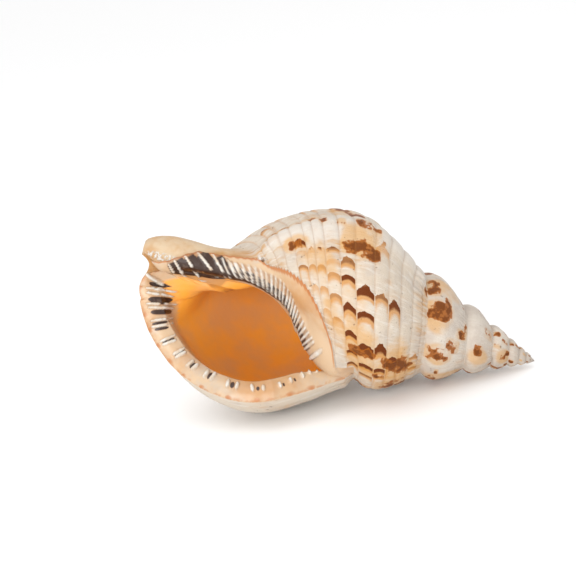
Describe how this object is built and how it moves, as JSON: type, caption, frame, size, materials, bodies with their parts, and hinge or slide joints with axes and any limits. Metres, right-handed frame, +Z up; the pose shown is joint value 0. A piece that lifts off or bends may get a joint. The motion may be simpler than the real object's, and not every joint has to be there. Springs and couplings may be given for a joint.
{
  "type": "conch shell",
  "caption": "Triton conch seashell lying on its side, with a tall ridged spire, wide toothed mouth, glossy hollow and short canal",
  "frame": {"origin": "on the surface the shell lies on, under the middle of its bounding box", "axes": "+X from the canal end towards the crown's tip, along the shell; +Y away from the mouth; +Z up"},
  "size_m": [0.1846, 0.0916, 0.0889],
  "materials": {
    "shell": "satin cream shell with brown crescents, glossy orange inside"
  },
  "bodies": {
    "root": {"shell": "shell"}
  },
  "joints": []
}
